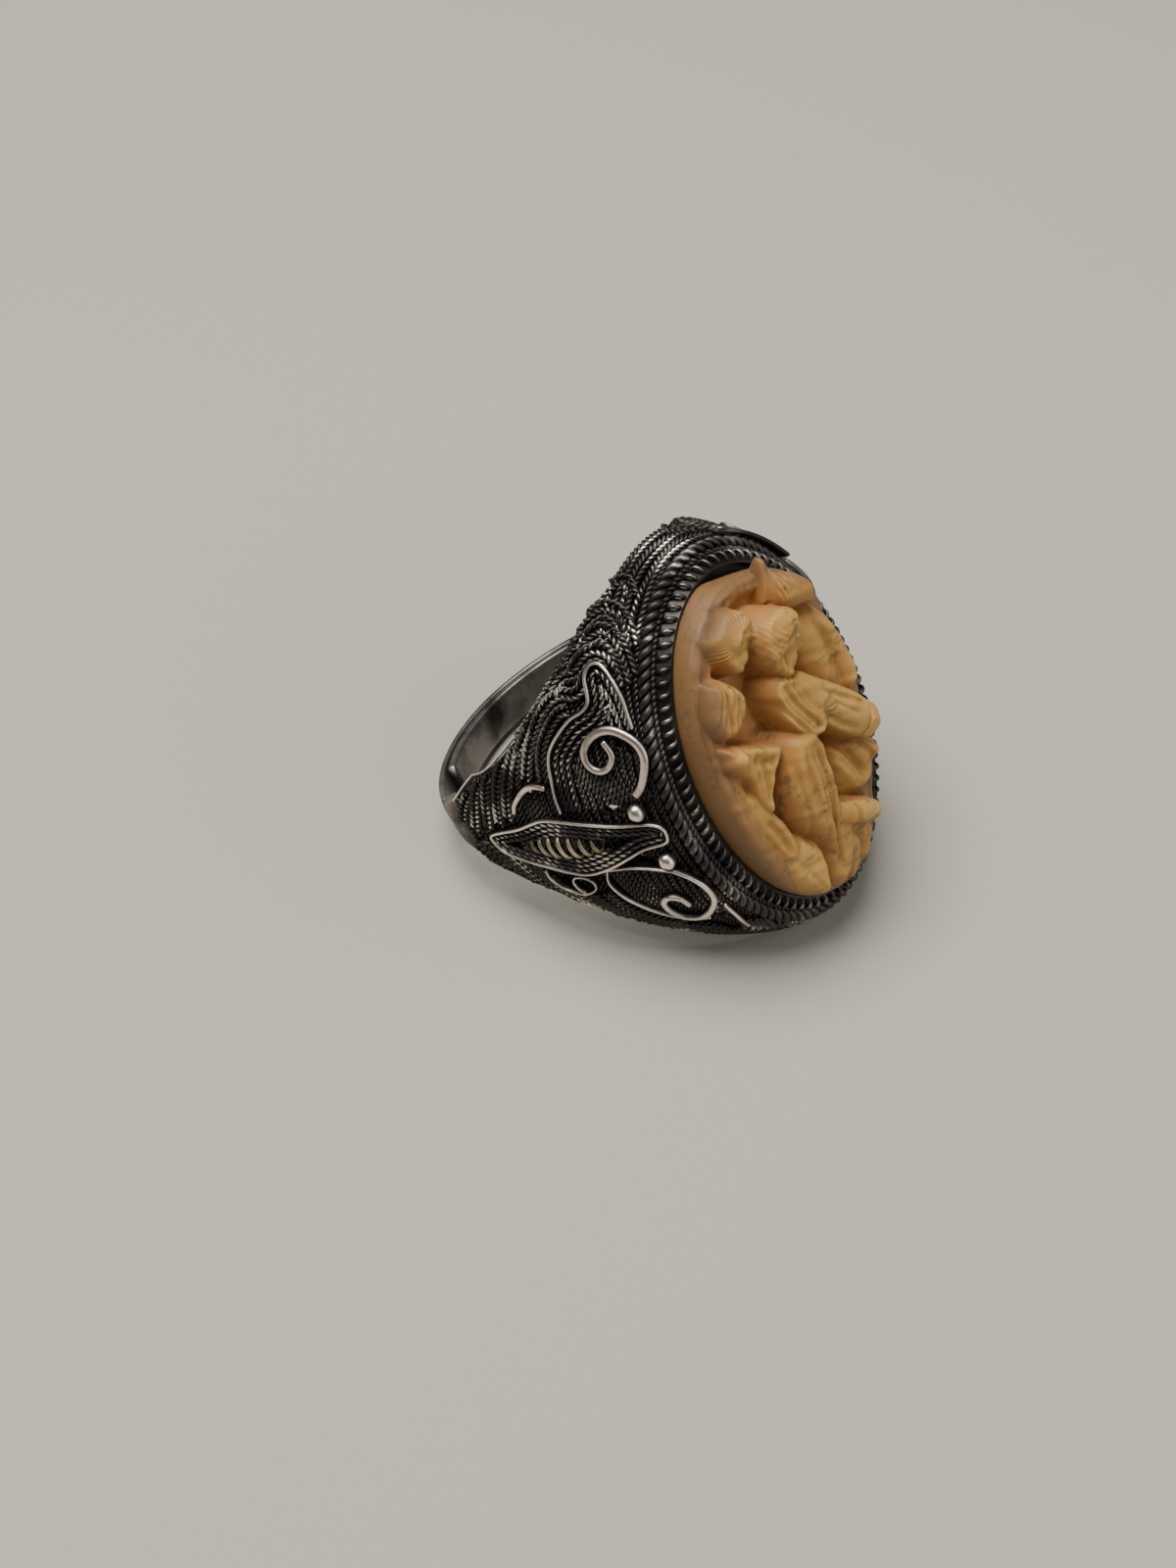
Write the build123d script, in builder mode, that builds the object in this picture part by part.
from build123d import *
from math import atan2, cos, degrees, radians, sin
from collections import namedtuple
import os

os.makedirs("parts", exist_ok=True)

# The ring is modelled round its finger hole and laid down at the end. Until
# then X points from the hole's centre to the head, Y runs across the finger
# and Z runs along it. Lengths are millimetres, angles are degrees.

# Finger hole, and the shank's two lapped ends, measured from the back
hole_radius = 8.75
strip_thickness = 0.5
lap_clearance = 0.1
strip_half_width = 1.0
shank_end_angle = 71.0
pocket_angle = 58.0
far_end_angle = 37.0
near_end_angle = 46.0
end_slit_angle = 1.5

# Filigree basket: an oval barrel that the finger hole passes through
shoulder_wall = 0.75
end_flare = 0.6
basket_wall = 0.95
crown_gap = 1.25
floor_thickness = 0.9

# Rope rim, and the sloping collar that holds the plaque
rope_radius = 0.42
groove_width = 0.08
collar_rise = 0.95
collar_foot_width = 0.75
collar_top_width = 0.35

# Plain edge strip outside the rope, on one quarter of the rim
edge_strip_thickness = 0.2
edge_strip_lap = 0.5
edge_strip_rise = 0.2
edge_strip_drop = 0.9
edge_strip_angles = (34.0, 68.0)

# Raised wirework motif, the same on both shoulders
motif_tip_height = -1.5
motif_rim_margin = 0.6
wing_margin = 2.8
motif_proud = 0.35
scroll_radius = 1.25
scroll_wire = 0.5
granule_radius = 0.5
gap_width = 0.55
gap_length = 0.95

# Carved plaque: an oval block with a sunk field and raised figures
plaque_half_width = 6.18
plaque_half_length = 9.16
plaque_clearance = 0.08
plaque_lean = 0.2
plaque_rim_rise = 2.7
plaque_rim_width = 0.6
field_rise = 1.5
field_shift = 0.6
relief_rise = 2.75

# What follows from those sizes
inner_of_near = hole_radius + strip_thickness + lap_clearance
outer_of_far = hole_radius + strip_thickness
shank_radius = inner_of_near + strip_thickness
floor_underside = hole_radius + crown_gap
rim_height = floor_underside + floor_thickness
rope_half_width = plaque_half_width + collar_foot_width + groove_width + rope_radius
rope_half_length = plaque_half_length + collar_foot_width + groove_width + rope_radius
rim_half_width = rope_half_width + rope_radius
rim_half_length = rope_half_length + rope_radius
side_half_width = hole_radius + shoulder_wall
basket_half_length = rim_half_length + end_flare
motif_length = rim_height - motif_rim_margin - motif_tip_height
motif_half_height = basket_half_length - wing_margin
plaque_base = rim_height + plaque_clearance
reach = 2 * basket_half_length

# Basket ovals. Height is a share of the rim's height and length a share of the
# basket's; the half width adds a share of the side's and a share of the rim's
Section = namedtuple("Section", "height length side rim")
BASKET = [
    Section(-0.34, 0.800, 0.975, 0.00),
    Section(-0.09, 0.900, 0.980, 0.00),
    Section(0.14, 0.980, 0.995, 0.00),
    Section(0.37, 1.000, 0.985, 0.00),
    Section(0.60, 1.000, 0.660, 0.35),
    Section(0.80, 0.990, 0.350, 0.64),
    Section(1.00, 0.935, 0.000, 0.97),
]

# Outline of the shank and the shoulders' feet, seen from the side: heights are
# shares of the hole's radius, half widths are shares of the strip's
Flank = namedtuple("Flank", "height half_width")
FLANK = [
    Flank(-1.20, 1.00),
    Flank(-0.90, 1.02),
    Flank(-0.60, 1.25),
    Flank(-0.40, 1.75),
    Flank(-0.22, 2.85),
    Flank(0.05, 4.40),
    Flank(0.40, 6.50),
]

# The motif seen from the side. Along is a share of its length from the leaf's
# tip, up is a share of its half height from the shoulder's middle line
Spot = namedtuple("Spot", "along up")
LEAF = [Spot(0.00, 0.00), Spot(0.22, 0.14), Spot(0.45, 0.20), Spot(0.72, 0.13), Spot(0.99, 0.06)]
WING = [
    Spot(0.58, 0.24),
    Spot(0.59, 0.54),
    Spot(0.68, 0.72),
    Spot(0.83, 0.84),
    Spot(0.83, 0.95),
    Spot(0.90, 0.97),
    Spot(1.00, 0.76),
    Spot(0.97, 0.60),
]
SCROLL = Spot(0.875, 0.55)
GRANULE = Spot(0.925, 0.17)
GAPS = [Spot(0.79, 0.19), Spot(0.36, 0.33), Spot(0.87, 0.76)]

# Plaque's wall: at shares of the rim's rise, the share of the lean reached there
Lean = namedtuple("Lean", "rise lean")
WALL = [Lean(0.0, 0.0), Lean(0.5, 0.15), Lean(1.0, 1.0)]

# Top of the plaque's rim seen from the side. Along is a share of the plaque's half
# length, rise is a share of the rim's
Crest = namedtuple("Crest", "along rise")
CREST = [
    Crest(-1.05, 0.40),
    Crest(-0.80, 0.64),
    Crest(-0.55, 0.80),
    Crest(-0.25, 0.97),
    Crest(0.00, 1.00),
    Crest(0.35, 0.90),
    Crest(1.05, 0.75),
]

# Raised forms of the carving. Across and along are shares of the plaque's half
# width and length, both half sizes are shares of its half width, and rise is a
# share of the relief's
Form = namedtuple("Form", "name across along half_across half_along turn rise")
FORMS = [
    Form("left_head", -0.42, 0.77, 0.26, 0.29, -19, 0.74),
    Form("left_arm", -0.61, 0.49, 0.21, 0.28, -29, 0.62),
    Form("left_sleeve", -0.57, 0.09, 0.23, 0.36, -30, 0.62),
    Form("left_hand", -0.77, 0.24, 0.12, 0.12, 0, 0.66),
    Form("left_hem", -0.67, -0.27, 0.18, 0.44, 20, 0.42),
    Form("low_hem", -0.44, -0.70, 0.18, 0.38, 22, 0.28),
    Form("middle_head", 0.10, 0.55, 0.26, 0.32, -26, 1.00),
    Form("middle_cap", 0.20, 0.67, 0.22, 0.19, -26, 0.96),
    Form("middle_chest", -0.03, 0.25, 0.26, 0.30, -14, 0.82),
    Form("middle_robe", -0.22, -0.22, 0.27, 0.62, -6, 0.78),
    Form("middle_hem", -0.26, -0.65, 0.25, 0.40, -8, 0.48),
    Form("right_arm", 0.31, 0.07, 0.15, 0.40, 35, 0.93),
    Form("right_sleeve", 0.50, -0.19, 0.19, 0.24, 0, 0.80),
    Form("right_knee", 0.27, -0.34, 0.24, 0.36, 0, 0.55),
    Form("low_hand", 0.10, -0.59, 0.20, 0.12, -38, 0.70),
    Form("low_fold", -0.04, -0.77, 0.20, 0.27, -10, 0.36),
    Form("hair_mass", 0.46, 0.75, 0.21, 0.37, 46, 0.72),
    Form("top_post", 0.32, 0.89, 0.07, 0.14, 20, 0.56),
    Form("right_fold", 0.61, 0.27, 0.25, 0.58, 13, 0.54),
    Form("right_low_fold", 0.58, -0.37, 0.27, 0.42, -26, 0.42),
    Form("right_tip_fold", 0.30, -0.72, 0.25, 0.28, 0, 0.32),
]


def height_plane(height):
    """The plane across the head at a height above the hole's centre"""
    return Plane.YZ.offset(height)


def oval_half_sizes(row):
    return row.side * side_half_width + row.rim * rim_half_width, row.length * basket_half_length


def motif_point(spot, sign):
    return (motif_tip_height + spot.along * motif_length, sign * spot.up * motif_half_height)


def crest_point(spot):
    return (plaque_base + spot.rise * plaque_rim_rise, spot.along * plaque_half_length)


def direction(angle):
    return Vector(cos(radians(angle)), sin(radians(angle)))


def sector(inner, outer, start, end):
    """A stretch of the shank seen along the finger, with angles from its back towards the far side"""
    with BuildSketch() as stretch:
        with BuildLine():
            CenterArc((0, 0), inner, 180 - start, start - end)
            CenterArc((0, 0), outer, 180 - start, start - end)
            for angle in (start, end):
                Line(direction(180 - angle) * inner, direction(180 - angle) * outer)
        make_face()
    return stretch.sketch


# Space inside the basket, under the head's floor
with BuildPart() as basket_core:
    for row in BASKET:
        with BuildSketch(height_plane(row.height * rim_height)):
            half_width, half_length = oval_half_sizes(row)
            Ellipse(half_width - basket_wall, half_length - basket_wall)
    loft()
    split(bisect_by=height_plane(floor_underside), keep=Keep.BOTTOM)

# Side outline of the shank and shoulders
with BuildPart() as flank_block:
    with BuildSketch(Plane.XZ):
        with BuildLine():
            edge = Spline([(row.height * hole_radius, row.half_width * strip_half_width) for row in FLANK])
            back = edge @ 0
            foot = edge @ 1
            Polyline(foot, (foot.X, reach), (reach, reach), (reach, 0), (back.X, 0), back)
        make_face()
        mirror(about=Plane.XZ)
    extrude(amount=reach, both=True)

# Shank, whose far end slips inside the near one
with BuildPart() as shank:
    with BuildSketch():
        add(sector(hole_radius, shank_radius, -shank_end_angle, -pocket_angle))
        add(sector(inner_of_near, shank_radius, -pocket_angle, near_end_angle))
        add(sector(hole_radius, outer_of_far, -far_end_angle, near_end_angle + end_slit_angle))
        add(sector(hole_radius, shank_radius, near_end_angle + end_slit_angle, shank_end_angle))
    extrude(amount=reach, both=True)

# Rope rim
with BuildSketch(height_plane(rim_height)) as rope_oval:
    Ellipse(rope_half_width, rope_half_length)
rope_line = rope_oval.sketch.wire()
with BuildPart() as rope_rim:
    with BuildSketch(Plane(rope_line @ 0, z_dir=rope_line % 0)):
        Circle(rope_radius)
    sweep(path=rope_line)

# Raised motif, cut from a slightly larger barrel
with BuildPart() as motif:
    for row in BASKET:
        with BuildSketch(height_plane(row.height * rim_height)):
            half_width, half_length = oval_half_sizes(row)
            Ellipse(half_width + motif_proud, half_length + motif_proud)
    loft()
    add(basket_core.part, mode=Mode.SUBTRACT)
    with BuildSketch(Plane.XZ):
        for sign in (1, -1):
            root = motif_point(LEAF[-1], sign)
            with BuildLine():
                Spline([motif_point(spot, sign) for spot in LEAF])
                Polyline(root, (root[0], 0), motif_point(LEAF[0], sign))
            make_face()
            with BuildLine():
                Spline([motif_point(spot, sign) for spot in WING], periodic=True)
            make_face()
            with Locations(motif_point(SCROLL, sign)):
                Circle(scroll_radius)
                Circle(scroll_radius - scroll_wire, mode=Mode.SUBTRACT)
            with Locations(motif_point(GRANULE, sign)):
                Circle(granule_radius)
    extrude(amount=reach, both=True, mode=Mode.INTERSECT)

# Everything that is soldered together
with BuildPart() as silver_blank:
    for row in BASKET:
        with BuildSketch(height_plane(row.height * rim_height)):
            Ellipse(*oval_half_sizes(row))
    loft()
    add(basket_core.part, mode=Mode.SUBTRACT)
    add(motif.part)
    add(shank.part)
    Cylinder(hole_radius, 2 * reach, mode=Mode.SUBTRACT)
    add(flank_block.part, mode=Mode.INTERSECT)
    # Gaps, through both shoulders
    with BuildSketch(Plane.XZ):
        for sign in (1, -1):
            with Locations(*(motif_point(spot, sign) for spot in GAPS)):
                SlotOverall(gap_length, gap_width)
    extrude(amount=reach, both=True, mode=Mode.SUBTRACT)
    # Collar round the plaque
    with BuildSketch(height_plane(rim_height - floor_thickness / 2)):
        Ellipse(plaque_half_width + collar_foot_width, plaque_half_length + collar_foot_width)
    with BuildSketch(height_plane(rim_height + collar_rise)):
        Ellipse(plaque_half_width + collar_top_width, plaque_half_length + collar_top_width)
    loft()
    with BuildSketch(height_plane(rim_height)):
        Ellipse(plaque_half_width + plaque_clearance, plaque_half_length + plaque_clearance)
    extrude(amount=2 * collar_rise, mode=Mode.SUBTRACT)
    add(rope_rim.part)
    # Edge strip
    with BuildSketch(height_plane(rim_height - edge_strip_drop)):
        Ellipse(rim_half_width + edge_strip_thickness, rim_half_length + edge_strip_thickness)
        Ellipse(rim_half_width - edge_strip_lap, rim_half_length - edge_strip_lap, mode=Mode.SUBTRACT)
        with BuildLine():
            start, end = (direction(angle) * reach for angle in edge_strip_angles)
            Polyline((0, 0), start, start + end, end, (0, 0))
        make_face(mode=Mode.INTERSECT)
    extrude(amount=edge_strip_drop + edge_strip_rise)

# Plaque: its wall leans in towards an uneven top, and its field is sunk inside a rim
with BuildPart() as plaque_blank:
    for level in WALL:
        with BuildSketch(height_plane(plaque_base + level.rise * plaque_rim_rise)):
            inset = level.lean * plaque_lean
            Ellipse(plaque_half_width - inset, plaque_half_length - inset)
    loft()
    with BuildSketch(Plane.XZ):
        with BuildLine():
            crest = [crest_point(spot) for spot in CREST]
            Spline(crest)
            Polyline(crest[-1], (0, crest[-1][1]), (0, crest[0][1]), crest[0])
        make_face()
    extrude(amount=reach, both=True, mode=Mode.INTERSECT)
    with BuildSketch(height_plane(plaque_base + field_rise)):
        with Locations((field_shift, 0)):
            Ellipse(plaque_half_width - plaque_rim_width, plaque_half_length - plaque_rim_width)
    extrude(amount=plaque_rim_rise, mode=Mode.SUBTRACT)
    for form in FORMS:
        half_sizes = (
            form.rise * relief_rise,
            form.half_across * plaque_half_width,
            form.half_along * plaque_half_width,
        )
        place = (
            plaque_base + field_rise,
            form.across * plaque_half_width,
            form.along * plaque_half_length,
        )
        mound = scale(Sphere(1, mode=Mode.PRIVATE), by=half_sizes, mode=Mode.PRIVATE)
        add(mound.rotate(Axis.X, form.turn).moved(Location(place)))
    with BuildSketch(height_plane(plaque_base)):
        Ellipse(plaque_half_width, plaque_half_length)
    extrude(amount=reach, mode=Mode.INTERSECT)

# On its side, the ring rests on the head's lower end and the back of the shank
end_half_length = basket_half_length * BASKET[-2].length
rest_tilt = degrees(atan2(end_half_length - strip_half_width, hole_radius + shank_radius))
turn = Rotation(0, -rest_tilt, 0)
bounds = Compound([silver_blank.part, plaque_blank.part]).moved(turn).bounding_box()
rest = Location((-bounds.center().X, -bounds.center().Y, -bounds.min.Z)) * turn

with BuildPart() as silver_mount:
    add(silver_blank.part.moved(rest))
silver_mount.part.label = "silver_mount"
export_step(silver_mount.part, "parts/silver_mount.step")

with BuildPart() as carved_plaque:
    add(plaque_blank.part.moved(rest))
carved_plaque.part.label = "carved_plaque"
export_step(carved_plaque.part, "parts/carved_plaque.step")

print(f"tilt {rest_tilt:.2f} degrees, hole centre {rest.position}, overall {bounds.size}")
